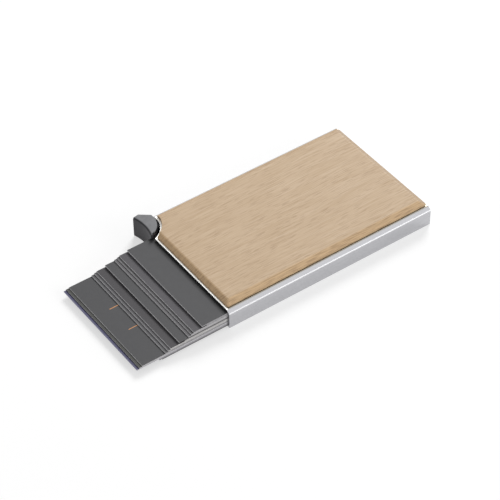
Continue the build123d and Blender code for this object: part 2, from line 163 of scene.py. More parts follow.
class Shader:
    """A material being built: its Principled shader and the nodes that feed it."""

    def __init__(self, name, colour, roughness, metallic=0.0, specular=0.5):
        self.material = bpy.data.materials.new(name)
        self.material.use_nodes = True
        self.material.diffuse_color = linear(colour)
        self.tree = self.material.node_tree
        self.surface = self.tree.nodes["Principled BSDF"]
        self.surface.inputs["Base Color"].default_value = linear(colour)
        self.surface.inputs["Roughness"].default_value = roughness
        self.surface.inputs["Metallic"].default_value = metallic
        self.surface.inputs["Specular IOR Level"].default_value = specular
        coordinates = self.node("ShaderNodeTexCoord")
        self.place = coordinates.outputs["Object"]
        self.normal = coordinates.outputs["Normal"]

    def node(self, kind, **settings):
        """A new node with some of its settings."""
        made = self.tree.nodes.new(kind)
        for name, value in settings.items():
            setattr(made, name, value)
        return made

    def feed(self, socket, value):
        """Links an output to a socket, or sets the socket to a plain value."""
        if isinstance(value, bpy.types.NodeSocket):
            self.tree.links.new(value, socket)
        else:
            socket.default_value = value

    def maths(self, operation, a, b=0.0, clamp=False):
        """The result of a sum on one or two values."""
        made = self.node("ShaderNodeMath", operation=operation, use_clamp=clamp)
        self.feed(made.inputs[0], a)
        self.feed(made.inputs[1], b)
        return made.outputs[0]

    def times(self, *factors):
        """The product of all the factors."""
        product = factors[0]
        for factor in factors[1:]:
            product = self.maths("MULTIPLY", product, factor)
        return product

    def axes(self, vector):
        """A vector's three parts."""
        made = self.node("ShaderNodeSeparateXYZ")
        self.feed(made.inputs[0], vector)
        return made.outputs

    def shifted(self, across):
        """The place moved along X by a varying distance."""
        offset = self.node("ShaderNodeCombineXYZ")
        self.feed(offset.inputs["X"], across)
        moved = self.node("ShaderNodeVectorMath", operation="ADD")
        self.feed(moved.inputs[0], self.place)
        self.feed(moved.inputs[1], offset.outputs[0])
        return moved.outputs[0]

    def noise(self, sizes, detail=2.0, offset=(0, 0, 0), place=None):
        """Noise whose cells have the given sizes along X, Y and Z."""
        cells = self.node("ShaderNodeMapping")
        self.feed(cells.inputs["Vector"], place or self.place)
        cells.inputs["Scale"].default_value = [1 / size for size in sizes]
        cells.inputs["Location"].default_value = offset
        made = self.node("ShaderNodeTexNoise")
        self.feed(made.inputs["Vector"], cells.outputs[0])
        made.inputs["Scale"].default_value = 1.0
        made.inputs["Detail"].default_value = detail
        made.inputs["Roughness"].default_value = 0.5
        return made.outputs["Fac"]

    def span(self, value, low, high, start=0.0, end=1.0):
        """The value taken from low..high to start..end, and no further."""
        made = self.node("ShaderNodeMapRange", clamp=True)
        self.feed(made.inputs["Value"], value)
        made.inputs["From Min"].default_value = low
        made.inputs["From Max"].default_value = high
        made.inputs["To Min"].default_value = start
        made.inputs["To Max"].default_value = end
        return made.outputs["Result"]

    def share(self, value, values, most):
        """A share that grows from 0 to its most over a span of values."""
        return self.span(value, *values, 0.0, most)

    def mix(self, factor, a, b):
        """The colour a, with a share of the colour b."""
        made = self.node("ShaderNodeMix", data_type="RGBA")
        self.feed(made.inputs["Factor"], factor)
        self.feed(made.inputs["A"], a)
        self.feed(made.inputs["B"], b)
        return made.outputs["Result"]

    def from_notch(self):
        """The level distance from the notch's centre line."""
        axes = self.axes(self.place)
        level = self.node("ShaderNodeCombineXYZ")
        self.feed(level.inputs["X"], axes["X"])
        self.feed(level.inputs["Y"], axes["Y"])
        distance = self.node("ShaderNodeVectorMath", operation="DISTANCE")
        self.feed(distance.inputs[0], level.outputs[0])
        distance.inputs[1].default_value = NOTCH_CENTRE
        return distance.outputs["Value"]

    def colour(self, value):
        """Sets the surface's colour."""
        self.feed(self.surface.inputs["Base Color"], value)

    def roughness(self, value):
        """Sets the surface's roughness."""
        self.feed(self.surface.inputs["Roughness"], value)

    def bump(self, height, depth, strength):
        """Bumps the surface by a height from 0 to 1, over a depth and with a strength."""
        made = self.node("ShaderNodeBump")
        self.feed(made.inputs["Height"], height)
        made.inputs["Distance"].default_value = depth
        made.inputs["Strength"].default_value = strength
        self.feed(self.surface.inputs["Normal"], made.outputs[0])


# The beech: the cells of its noises along X, Y and Z, the noise values over which each shows, and
# the most that it tints. Its grain sways along X, and its flecks thin out in patches.
DRIFT_CELLS = (16 * MM, 40 * MM, 30 * MM)
SWAY = 3 * MM
BAND_CELLS = (4.2 * MM, 80 * MM, 20 * MM)
BAND_TINT = 0.15
STREAK_CELLS = (0.38 * MM, 20 * MM, 4 * MM)
STREAK_VALUES = (0.36, 0.66)
STREAK_TINT = 0.4
FLECK_CELLS = (0.32 * MM, 5 * MM, 2 * MM)
FLECK_OFFSET = (3, 7, 0)
FLECK_VALUES = (0.6, 0.68)
FLECK_TINT = 0.5
PATCH_CELLS = (6 * MM, 15 * MM, 20 * MM)
PATCH_OFFSET = (9, 2, 0)
PATCH_VALUES = (0.35, 0.6)
PATCH_LEAST = 0.6
BEECH_ROUGHNESS = (0.48, 0.62)
BEECH_DEPTH = 0.03 * MM
BEECH_STRENGTH = 0.2
FLECK_DEPTH_SHARE = 0.6

# The beech's bevels: the parts of the normals that tell them, and their flecks
BEVEL_FACING = (0.1, 0.3)
BEVEL_TILT = (0.97, 0.92)
BEVEL_FLECK_VALUES = (0.42, 0.62)
BEVEL_FLECK_TINT = 0.3


def beech_material():
    """Oiled beech with its grain along Y: soft bands, fine wavering streaks and short flecks.

    The bevels at +X, at the mouth and at the back have grounds of their own, painted lighter or
    darker for how the light falls on each."""
    wood = Shader("beech", BEECH, roughness=0.5, specular=0.3)
    drift = wood.noise(DRIFT_CELLS, detail=1.0)
    place = wood.shifted(wood.times(wood.maths("SUBTRACT", drift, NOISE_MEAN), SWAY))
    bands = wood.noise(BAND_CELLS, place=place)
    streaks = wood.noise(STREAK_CELLS, detail=0.6, place=place)
    flecks = wood.noise(FLECK_CELLS, detail=0.0, offset=FLECK_OFFSET, place=place)
    patches = wood.noise(PATCH_CELLS, detail=1.0, offset=PATCH_OFFSET, place=place)
    normal = wood.axes(wood.normal)
    to_mouth = wood.times(normal["Y"], -1.0)
    colour = linear(BEECH)
    # Painted light and shade: each bevel gets a lighter or darker ground for how the lamps fall on it
    for facing, ground in (
        (normal["X"], BEECH_SIDE_LIT), (to_mouth, BEECH_MOUTH_LIT), (normal["Y"], BEECH_BACK_SHADED),
    ):
        colour = wood.mix(wood.span(facing, *BEVEL_FACING), colour, linear(ground))
    colour = wood.mix(wood.share(bands, NOISE_UPPER, BAND_TINT), colour, linear(BEECH_STREAK))
    colour = wood.mix(wood.share(streaks, STREAK_VALUES, STREAK_TINT), colour, linear(BEECH_STREAK))
    bevel_flecks = wood.share(flecks, BEVEL_FLECK_VALUES, BEVEL_FLECK_TINT)
    on_bevels = wood.times(wood.span(normal["Z"], *BEVEL_TILT), bevel_flecks)
    colour = wood.mix(on_bevels, colour, linear(BEECH_FLECK))
    thinned = wood.span(patches, *PATCH_VALUES, PATCH_LEAST, 1.0)
    everywhere = wood.times(wood.share(flecks, FLECK_VALUES, FLECK_TINT), thinned)
    wood.colour(wood.mix(everywhere, colour, linear(BEECH_FLECK)))
    wood.roughness(wood.span(streaks, *NOISE_MOST, *BEECH_ROUGHNESS))
    height = wood.maths("SUBTRACT", streaks, wood.times(flecks, FLECK_DEPTH_SHARE))
    wood.bump(height, BEECH_DEPTH, BEECH_STRENGTH)
    return wood.material


# The sleeve: the cells of its fine lines and of its paler clouds, their tints and their depth
LINE_CELLS = (0.16 * MM, 30 * MM, 0.16 * MM)
LINE_TINT = 0.3
LINE_ROUGHNESS = (0.32, 0.4)
LINE_DEPTH = 0.005 * MM
LINE_STRENGTH = 0.1
CLOUD_CELLS = (0.6 * MM, 10 * MM, 0.6 * MM)
CLOUD_OFFSET = (5, 1, 8)
CLOUD_TINT = 0.25

# Its cut rim, the ledge beside the panel's +X side, on which the panel's shadow and reflection are
# painted, and its rounded crease between two tilts
CUT_HEIGHT = 0.3 * MM
CUT_FADE = 0.05 * MM
CUT_ROUGHER = 0.25
LEDGE_WIDTH = 1.2 * MM
LEDGE_START = (0.0, 1 * MM)
UPWARD_TILT = (0.3, 0.5)
CREASE_LEAST_TILT = (0.1, 0.25)
CREASE_MOST_TILT = (0.8, 0.72)
CREASE_ROUGHER = 0.15


def aluminium_material():
    """Satin anodised aluminium with fine lines along Y.

    Its rim is cut bright at the mouth and the notch, its ledge has the panel's shadow and reflection
    painted on it, its crease is rougher."""
    metal = Shader("sleeve_aluminium", ALUMINIUM, roughness=0.3, metallic=1.0)
    lines = metal.noise(LINE_CELLS)
    clouds = metal.noise(CLOUD_CELLS, offset=CLOUD_OFFSET)
    lined = metal.share(lines, NOISE_MOST, LINE_TINT)
    colour = metal.mix(lined, linear(ALUMINIUM), linear(ALUMINIUM_DARK))
    colour = metal.mix(metal.share(clouds, NOISE_UPPER, CLOUD_TINT), colour, linear(ALUMINIUM_PALE))
    axes = metal.axes(metal.place)
    tilt = metal.axes(metal.normal)["Z"]
    high_up = metal.span(axes["Z"], case_high.z - CUT_HEIGHT, case_high.z - CUT_HEIGHT / 3)
    upward = metal.span(tilt, *UPWARD_TILT)
    # Painted shade: the panel's shadow and the reflection of its wood on the ledge beside its +X side
    beside = metal.span(axes["X"], panel_high.x + LEDGE_WIDTH, panel_high.x + LEDGE_WIDTH / 2)
    ledge_shade = metal.times(beside, metal.span(axes["X"], *LEDGE_START), high_up, upward)
    colour = metal.mix(ledge_shade, colour, linear(LEDGE_PAINTED_SHADE))
    crease = metal.times(metal.span(tilt, *CREASE_LEAST_TILT), metal.span(tilt, *CREASE_MOST_TILT))
    colour = metal.mix(crease, colour, linear(ALUMINIUM_EDGE))
    panel_front = panel_low.y - PANEL_FRONT_REACH
    at_mouth = metal.span(axes["Y"], panel_front, panel_front - CUT_FADE)
    at_notch = metal.span(metal.from_notch(), PANEL_NOTCH_RADIUS + CUT_FADE, PANEL_NOTCH_RADIUS)
    cut = metal.times(metal.maths("MAXIMUM", at_mouth, at_notch), high_up, upward)
    metal.colour(metal.mix(cut, colour, linear(ALUMINIUM_CUT)))
    rougher = metal.maths("ADD", metal.times(cut, CUT_ROUGHER), metal.times(crease, CREASE_ROUGHER))
    satin = metal.span(lines, *NOISE_MOST, *LINE_ROUGHNESS)
    metal.roughness(metal.maths("ADD", satin, rougher))
    metal.bump(lines, LINE_DEPTH, LINE_STRENGTH)
    return metal.material


# Plastics: the cells of their spark-eroded grain and of their wear, and how much each does
SPARK_CELLS = (0.4 * MM, 0.4 * MM, 0.4 * MM)
SPARK_SMOOTHER = 0.05
SPARK_ROUGHER = 0.08
SPARK_DEPTH = 0.02 * MM
SPARK_STRENGTH = 0.3
WEAR_CELLS = (4 * MM, 4 * MM, 4 * MM)
WEAR_OFFSET = (2, 4, 6)
WEAR_TINT = 0.6
WEAR_DARKER = 0.88


def grained(plastic, roughness):
    """Gives a plastic its fine spark-eroded grain. Returns the noise of its wear."""
    grain = plastic.noise(SPARK_CELLS)
    smoothest = roughness - SPARK_SMOOTHER
    roughest = roughness + SPARK_ROUGHER
    plastic.roughness(plastic.span(grain, *NOISE_MOST, smoothest, roughest))
    plastic.bump(grain, SPARK_DEPTH, SPARK_STRENGTH)
    return plastic.noise(WEAR_CELLS, offset=WEAR_OFFSET)


def plastic_material(name, colour, roughness):
    """Moulded plastic, a little darker where it is worn."""
    plastic = Shader(name, colour, roughness, specular=0.4)
    wear = grained(plastic, roughness)
    tinted = plastic.share(wear, NOISE_UPPER, WEAR_TINT)
    plastic.colour(plastic.mix(tinted, linear(colour), linear(scaled(colour, WEAR_DARKER))))
    return plastic.material


# The thumb piece: its roughness and wear, and the tilts at which the painted shade of its lip and of
# its walls begins
THUMB_ROUGHNESS = 0.5
THUMB_WEAR_DARKER = 0.9
THUMB_LIP_TILT = (0.97, 0.85)
THUMB_WALL_TILT = (0.45, 0.15)


def thumb_material():
    """The thumb piece: a pale top with darker spots of wear, a rounded lip painted dark as shade, and
    walls painted a tone between the two as shade.
    """
    plastic = Shader("thumb_plastic", THUMB, THUMB_ROUGHNESS, specular=0.35)
    wear = grained(plastic, THUMB_ROUGHNESS)
    darker = linear(scaled(THUMB, THUMB_WEAR_DARKER))
    colour = plastic.mix(plastic.span(wear, *NOISE_UPPER), linear(THUMB), darker)
    tilt = plastic.axes(plastic.normal)["Z"]
    # Painted shade: the lip and the walls are darker than the top by their tilt
    colour = plastic.mix(plastic.span(tilt, *THUMB_LIP_TILT), colour, linear(THUMB_LIP_SHADE))
    plastic.colour(plastic.mix(plastic.span(tilt, *THUMB_WALL_TILT), colour, linear(THUMB_WALL_SHADE)))
    return plastic.material


# Steel: the cells of its drawing marks, and how much they do
MARK_CELLS = (0.2 * MM, 0.2 * MM, 0.2 * MM)
MARK_TINT = 0.3
MARK_SMOOTHER = 0.06
MARK_ROUGHER = 0.08


def steel_material(name, roughness):
    """Drawn steel with fine marks."""
    steel = Shader(name, STEEL, roughness, metallic=1.0)
    marks = steel.noise(MARK_CELLS, detail=3.0)
    marked = steel.share(marks, NOISE_MOST, MARK_TINT)
    steel.colour(steel.mix(marked, linear(STEEL), linear(STEEL_DARK)))
    smoothest = roughness - MARK_SMOOTHER
    roughest = roughness + MARK_ROUGHER
    steel.roughness(steel.span(marks, *NOISE_MOST, smoothest, roughest))
    return steel.material


# The card stock: its mottled print and its fibres, which shift from card to card, its dark coats
# and the pale rim of its front edge
MOTTLE_CELLS = (3 * MM, 3 * MM, 3 * MM)
MOTTLE_SHIFT = 3.7
MOTTLE_TINT = 0.5
MOTTLE_DARKER = 0.93
MOTTLE_DEPTH = 0.01 * MM
MOTTLE_STRENGTH = 0.2
FIBRE_CELLS = (0.8 * MM, 0.8 * MM, 0.08 * MM)
FIBRE_SHIFT = 2.9
FIBRE_VALUES = (0.35, 0.65)
FIBRE_TINT = 0.35
FIBRE_DARKER = 0.85
COAT_THICKNESS = 0.05 * MM
COAT_TINT = 0.8
RIM_WIDTH = 0.08 * MM

# The parts of a card's normals that tell its faces from its edges, and its front edge from the rest
FACE_TILT = (0.4, 0.6)
FRONT_FACING = (-0.4, -0.6)

# The card print, two dashes on a lower card, and the top card's painted shadow, a dark band under the
# mouth
TOP_CARD = "card_16"
MOUTH_SHADOW_WIDTH = 2.5 * MM
DASH_CARD = "card_06"
DASH_PLACES = (-1.95 * MM, 12.3 * MM)
DASH_INSET = 9.1 * MM
DASH_LENGTH = 5.0 * MM
DASH_WIDTH = 0.45 * MM
DASH_SIDE_FADE = 0.06 * MM
DASH_END_FADE = 0.2 * MM


def dashes(card, low):
    """1 on the two short printed dashes of a card's face, and 0 elsewhere."""
    axes = card.axes(card.place)
    total = 0.0
    for centre_x in DASH_PLACES:
        across = card.maths("ABSOLUTE", card.maths("SUBTRACT", axes["X"], centre_x))
        along = card.maths("ABSOLUTE", card.maths("SUBTRACT", axes["Y"], low.y + DASH_INSET))
        beside = card.span(across, DASH_WIDTH / 2, DASH_WIDTH / 2 - DASH_SIDE_FADE)
        within = card.span(along, DASH_LENGTH / 2, DASH_LENGTH / 2 - DASH_END_FADE)
        total = card.maths("ADD", total, card.times(beside, within), clamp=True)
    return total


def card_face(card, name, index, low, colour):
    """The colour of a card's faces: mottled, with its print, the top card's painted shadow under the
    mouth, and paler along its front edge.
    """
    mottle = card.noise(MOTTLE_CELLS, detail=3.0, offset=(index * MOTTLE_SHIFT, 0, 0))
    card.bump(mottle, MOTTLE_DEPTH, MOTTLE_STRENGTH)
    darker = linear(scaled(colour, MOTTLE_DARKER))
    face = card.mix(card.share(mottle, NOISE_MOST, MOTTLE_TINT), linear(colour), darker)
    along = card.axes(card.place)["Y"]
    if name == DASH_CARD:
        face = card.mix(dashes(card, low), face, linear(DASH))
    # Painted shadow: the top card darkens under the sleeve's mouth as the sleeve's shade
    if name == TOP_CARD:
        rise = card.span(along, case_low.y - MOUTH_SHADOW_WIDTH, case_low.y - MOUTH_SHADOW_WIDTH / 4)
        fall = card.span(along, case_low.y + MOUTH_SHADOW_WIDTH, case_low.y + MOUTH_SHADOW_WIDTH / 2)
        face = card.mix(card.times(rise, fall), face, linear(MOUTH_SHADOW_COLOUR))
    # A paler strip along the front edge of each face
    tinted = card.span(along, low.y + RIM_WIDTH, low.y + RIM_WIDTH / 2)
    return card.mix(tinted, face, linear(CARD_RIM))


def card_core(card, name, index, low, high, coat_colour):
    """The colour of a card's cut edges: fibrous paper between two coats, and its own at the front."""
    fibres = card.noise(FIBRE_CELLS, offset=(index * FIBRE_SHIFT, 3, 1))
    fibrous = card.share(fibres, FIBRE_VALUES, FIBRE_TINT)
    tint = EDGE_TINTS[index]
    core = card.mix(fibrous, linear(tint), linear(scaled(tint, FIBRE_DARKER)))
    height = card.axes(card.place)["Z"]
    near_top = card.span(height, high.z - COAT_THICKNESS, high.z - COAT_THICKNESS / 2)
    near_bottom = card.span(height, low.z + COAT_THICKNESS, low.z + COAT_THICKNESS / 2)
    coat = card.times(card.maths("MAXIMUM", near_top, near_bottom), COAT_TINT)
    core = card.mix(coat, core, linear(coat_colour))
    at_front = card.span(card.axes(card.normal)["Y"], *FRONT_FACING)
    return card.mix(at_front, core, linear(FRONT_TINTS.get(name, CARD_FRONT)))


def card_material(name, index):
    """A printed card: dark coated faces, and pale or tinted layers at its edges."""
    low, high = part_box(name)
    colour = FACE_TINTS.get(name, CARD_FACE)
    card = Shader(name + "_stock", colour, roughness=0.5, specular=0.2)
    face = card_face(card, name, index, low, colour)
    core = card_core(card, name, index, low, high, colour)
    level = card.maths("ABSOLUTE", card.axes(card.normal)["Z"])
    card.colour(card.mix(card.span(level, *FACE_TILT), core, face))
    return card.material


# How rough the mouldings, the film, the rubber and the steels are
MOULDING_ROUGHNESS = 0.55
FILM_ROUGHNESS = 0.7
RUBBER_ROUGHNESS = 0.8
SPRING_ROUGHNESS = 0.3
SCREW_ROUGHNESS = 0.35


def dress():
    """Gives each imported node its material. Returns the materials by node."""
    aluminium = aluminium_material()
    moulding = plastic_material("moulding", MOULDING, MOULDING_ROUGHNESS)
    spring_steel = steel_material("spring_steel", SPRING_ROUGHNESS)
    materials = {
        "case_tube": aluminium,
        "end_cap": aluminium,
        "end_cap_screws": steel_material("screw_steel", SCREW_ROUGHNESS),
        "wood_panel": beech_material(),
        "bonding_film": plastic_material("film", FILM, FILM_ROUGHNESS),
        "trigger": thumb_material(),
        "brake_pad": plastic_material("pad_rubber", RUBBER, RUBBER_ROUGHNESS),
    }
    for name in ("side_rail", "rail_cover", "pusher", "brake_slide"):
        materials[name] = moulding
    for name in (
        "guide_rod", "drive_spring", "trigger_spring", "brake_spring", "left_card_leaf",
        "right_card_leaf",
    ):
        materials[name] = spring_steel
    for index in range(len(EDGE_TINTS)):
        name = f"card_{index + 1:02d}"
        materials[name] = card_material(name, index)
    for name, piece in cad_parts.items():
        piece.data.materials.clear()
        piece.data.materials.append(materials[name])
    return materials


# Shading: the angle from which an edge stays sharp, and how far large faces lead the normals
SHARP_ANGLE = 40.0
FACE_WEIGHT = 100

# The least cosine that divides an outline's inward direction, so that sharp corners don't run far
LEAST_COSINE = 0.7


def piece_from(mesh, name, material):
    """A scene object with a finished bmesh and a material."""
    data = bpy.data.meshes.new(name)
    mesh.to_mesh(data)
    mesh.free()
    piece = bpy.data.objects.new(name, data)
    bpy.context.scene.collection.objects.link(piece)
    data.materials.append(material)
    return piece


def rectangle(x_low, y_low, x_high, y_high):
    """A rectangle's corners, anticlockwise as seen from above."""
    return ((x_low, y_low), (x_high, y_low), (x_high, y_high), (x_low, y_high))


def on_circle(centre, radius, angles):
    """Points of a circle at angles in radians."""
    x, y = centre
    return [(x + radius * math.cos(angle), y + radius * math.sin(angle)) for angle in angles]


def close_rings(mesh, rings):
    """Faces over the first and the last ring of corners, and between each ring and the next."""
    mesh.faces.new(list(reversed(rings[0])))
    mesh.faces.new(rings[-1])
    for ring, following in zip(rings, rings[1:]):
        for index in range(len(ring)):
            after = (index + 1) % len(ring)
            mesh.faces.new((ring[index], ring[after], following[after], following[index]))


def add_prism(mesh, points, z_low, z_high):
    """An upright prism over an outline."""
    close_rings(mesh, [[mesh.verts.new((x, y, z)) for x, y in points] for z in (z_low, z_high)])


def arc(start, middle, end, steps):
    """Points on the circle through three points, from the start up to but without the end."""
    ax, ay = middle[0] - start[0], middle[1] - start[1]
    bx, by = end[0] - start[0], end[1] - start[1]
    scale = 2 * (ax * by - ay * bx)
    across = (by * (ax * ax + ay * ay) - ay * (bx * bx + by * by)) / scale
    along = (ax * (bx * bx + by * by) - bx * (ax * ax + ay * ay)) / scale
    centre = (start[0] + across, start[1] + along)
    first, halfway, last = (
        math.atan2(point[1] - centre[1], point[0] - centre[0]) for point in (start, middle, end)
    )
    turn = (last - first) % (2 * math.pi)
    if (halfway - first) % (2 * math.pi) > turn:
        turn -= 2 * math.pi
    angles = [first + turn * step / steps for step in range(steps)]
    return on_circle(centre, math.hypot(across, along), angles)


def turned_corner(before, corner, after, steps):
    """Points that round a corner, between its neighbours."""
    points = []
    for step in range(1, steps):
        share = step / steps
        points.append(tuple(
            b * (1 - share) ** 2 + 2 * c * share * (1 - share) + a * share ** 2
            for b, c, a in zip(before, corner, after)
        ))
    return points


def inward(points, index):
    """The inward direction at an outline's point, as long as keeps the sides' insets equal."""
    here = Vector(points[index])
    arrive = (here - Vector(points[index - 1])).normalized()
    leave = (Vector(points[(index + 1) % len(points)]) - here).normalized()
    middle = (arrive + leave).normalized()
    return Vector((-middle.y, middle.x)) / max(middle.dot(leave), LEAST_COSINE)


def add_lipped_prism(mesh, points, radii, z_low, z_high, steps):
    """An upright prism over an outline, its upper edge rounded by a radius for each point."""
    rings = [[mesh.verts.new((x, y, z_low)) for x, y in points]]
    for step in range(steps + 1):
        angle = math.pi / 2 * step / steps
        ring = []
        for index, (point, radius) in enumerate(zip(points, radii)):
            place = Vector(point) + inward(points, index) * radius * (1 - math.cos(angle))
            ring.append(mesh.verts.new((*place, z_high - radius * (1 - math.sin(angle)))))
        rings.append(ring)
    close_rings(mesh, rings)


def baked(piece):
    """Keeps the result of a piece's modifiers as its mesh."""
    graph = bpy.context.evaluated_depsgraph_get()
    made = bpy.data.meshes.new_from_object(piece.evaluated_get(graph))
    piece.modifiers.clear()
    piece.data = made


def carved(piece, cutter):
    """Cuts the cutter's shape from a piece."""
    cut = piece.modifiers.new("cut", "BOOLEAN")
    cut.operation = "DIFFERENCE"
    cut.solver = "EXACT"
    cut.object = cutter
    baked(piece)
    bpy.data.objects.remove(cutter)


def smoothed(piece):
    """Shades a piece smooth, but for its sharp edges."""
    for face in piece.data.polygons:
        face.use_smooth = True
    piece.data.set_sharp_from_angle(angle=math.radians(SHARP_ANGLE))
    normals = piece.modifiers.new("normals", "WEIGHTED_NORMAL")
    normals.keep_sharp = True
    normals.weight = FACE_WEIGHT
    baked(piece)


# The beech panel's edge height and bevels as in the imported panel, and its rounding, of which its
# upright corners and the bevels' lower and upper edges each take a share
PANEL_EDGE = 0.6 * MM
PANEL_SIDE_BEVEL = 2.8 * MM
PANEL_END_BEVEL = 2.1 * MM
PANEL_ROUNDING = 0.9 * MM
PANEL_ROUNDING_STEPS = 5
CORNER_SHARE = 1.0
SHOULDER_SHARE = 0.3
CROWN_SHARE = 0.6

# The round cutter of its notch
CUTTER_STEPS = 180
CUTTER_REACH = 5 * MM


def panel_block():
    """The beech panel as a bevelled block whose edges are weighted for their rounding."""
    mesh = bmesh.new()
    weights = mesh.edges.layers.float.new("bevel_weight_edge")
    rings = []
    for x_inset, y_inset, height in (
        (0, 0, panel_low.z),
        (0, 0, panel_low.z + PANEL_EDGE),
        (PANEL_SIDE_BEVEL, PANEL_END_BEVEL, panel_high.z),
    ):
        corners = rectangle(
            panel_low.x + x_inset, panel_low.y - PANEL_FRONT_REACH + y_inset,
            panel_high.x - x_inset, panel_high.y - y_inset,
        )
        rings.append([mesh.verts.new((x, y, height)) for x, y in corners])
    close_rings(mesh, rings)
    for ring, following in zip(rings, rings[1:]):
        for lower, upper in zip(ring, following):
            mesh.edges.get((lower, upper))[weights] = CORNER_SHARE
    for ring, share in ((rings[1], SHOULDER_SHARE), (rings[2], CROWN_SHARE)):
        for index, corner in enumerate(ring):
            mesh.edges.get((ring[index - 1], corner))[weights] = share
    return mesh


def wood_panel(material):
    """The beech panel with softened edges and corners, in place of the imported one."""
    panel = piece_from(panel_block(), "beech_panel", material)
    rounding = panel.modifiers.new("rounding", "BEVEL")
    rounding.limit_method = "WEIGHT"
    rounding.width = PANEL_ROUNDING
    rounding.segments = PANEL_ROUNDING_STEPS
    baked(panel)
    angles = [math.radians(360 / CUTTER_STEPS * step) for step in range(CUTTER_STEPS)]
    outline = on_circle(NOTCH_CENTRE.xy, PANEL_NOTCH_RADIUS, angles)
    cutter = bmesh.new()
    add_prism(cutter, outline, panel_low.z - CUTTER_REACH, panel_high.z + CUTTER_REACH)
    carved(panel, piece_from(cutter, "notch_cutter", material))
    smoothed(panel)
    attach(panel, "case")
    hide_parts("wood_panel")


# The thumb piece's outline within the notch, and the radii of its upper edge
THUMB_GAP = 1.5 * MM
THUMB_BACK_GAP = 0.95 * MM
THUMB_SHOULDER_INSET = 1.0 * MM
THUMB_EAR_SLOPE = 4.4 * MM
THUMB_NOSE = 0.6 * MM
THUMB_SCOOP = 1.2 * MM
THUMB_CROWN = Vector((0.6, 0.8))
THUMB_LIP_RADIUS = 0.9 * MM
THUMB_EDGE_RADIUS = 0.25 * MM
BACK_STEPS = 24
SCOOP_STEPS = 20
NOSE_STEPS = 6
LIP_STEPS = 6

# What is cut from under it, and the root and the bar below it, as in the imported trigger
UNDERCUT_LEFT = -22.9 * MM
UNDERCUT_TOP = 8.36 * MM
UNDERCUT_MARGIN = 1 * MM
ROOT_LOW = Vector((-31.65, -48.5, 1.8)) * MM
ROOT_HIGH = Vector((-27.25, -40.0, 7.5)) * MM
BAR_LEFT = -29.5 * MM
BAR_RIGHT = -27.5 * MM
BAR_LOW = 5.25 * MM
BAR_HIGH = 7.25 * MM
BAR_WEDGE = 4.0 * MM


def thumb_outline():
    """The thumb piece's outline, from its curved back to its nose, and its upper edge's radii."""
    front = trigger_low.y
    nose_radius = NOTCH_RADIUS - THUMB_GAP
    back_radius = NOTCH_RADIUS - THUMB_BACK_GAP
    nose = (NOTCH_CENTRE.x + math.sqrt(nose_radius**2 - (front - NOTCH_CENTRE.y) ** 2), front)
    shoulder_x = case_low.x + THUMB_SHOULDER_INSET
    rise = math.sqrt(back_radius**2 - (shoulder_x - NOTCH_CENTRE.x) ** 2)
    shoulder = (shoulder_x, NOTCH_CENTRE.y + rise)
    crown = NOTCH_CENTRE.xy + THUMB_CROWN * ((nose_radius + back_radius) / 2)
    ear_x = trigger_low.x
    scoop_start = (ear_x + THUMB_NOSE, front)
    scoop_middle = ((ear_x + nose[0]) / 2, front + THUMB_SCOOP)
    back = arc(nose, crown, shoulder, BACK_STEPS)[1:]
    ear = [shoulder, (ear_x, shoulder[1] - THUMB_EAR_SLOPE), (ear_x, front + THUMB_NOSE)]
    scoop = arc(scoop_start, scoop_middle, nose, SCOOP_STEPS)
    turn = turned_corner(scoop[-1], nose, back[0], NOSE_STEPS)
    radii = [THUMB_EDGE_RADIUS] * (len(back) + 2) + [THUMB_LIP_RADIUS] * (1 + len(scoop))
    radii += [
        THUMB_LIP_RADIUS + (THUMB_EDGE_RADIUS - THUMB_LIP_RADIUS) * step / len(turn)
        for step in range(len(turn))
    ]
    return back + ear + scoop + turn, radii


def add_root_and_bar(mesh):
    """The root under the thumb piece, and the bar whose end is a wedge."""
    add_prism(mesh, rectangle(*ROOT_LOW.xy, *ROOT_HIGH.xy), ROOT_LOW.z, ROOT_HIGH.z)
    bar = (
        (BAR_LEFT, ROOT_HIGH.y), (BAR_RIGHT, ROOT_HIGH.y),
        (BAR_RIGHT, trigger_high.y), (BAR_LEFT, trigger_high.y - BAR_WEDGE),
    )
    add_prism(mesh, bar, BAR_LOW, BAR_HIGH)


def thumb_piece(material):
    """The thumb piece with a rounded lip, its root and its bar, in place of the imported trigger."""
    outline, radii = thumb_outline()
    mesh = bmesh.new()
    add_lipped_prism(mesh, outline, radii, trigger_low.z, trigger_high.z, LIP_STEPS)
    thumb = piece_from(mesh, "thumb_trigger", material)
    cutter = bmesh.new()
    x_high = outline[0][0] + UNDERCUT_MARGIN
    corners = rectangle(UNDERCUT_LEFT, trigger_low.y - UNDERCUT_MARGIN, x_high, ROOT_HIGH.y)
    add_prism(cutter, corners, trigger_low.z - UNDERCUT_MARGIN, UNDERCUT_TOP)
    carved(thumb, piece_from(cutter, "undercut_cutter", material))
    smoothed(thumb)
    whole = bmesh.new()
    whole.from_mesh(thumb.data)
    add_root_and_bar(whole)
    whole.to_mesh(thumb.data)
    whole.free()
    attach(thumb, "trigger")
    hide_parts("trigger")


# The coil springs: their axes, turns and wire radii, their joints with their strokes, and the end
# that stays, 1 for the axis's far end and -1 for its near one; the coils leave the last three unused
SPRINGS = (
    ("drive_spring", Vector((0, 1, 0)), 11, 0.25 * MM, "pusher_travel", 33.677 * MM, 1),
    ("trigger_spring", Vector((0, 1, 0)), 5, 0.18 * MM, "trigger_press", 0.8 * MM, 1),
    ("brake_spring", Vector((1, 0, 0)), 6, 0.15 * MM, "brake_lift", 0.4 * MM, -1),
)
COIL_STEPS = 20
WIRE_SIDES = 8


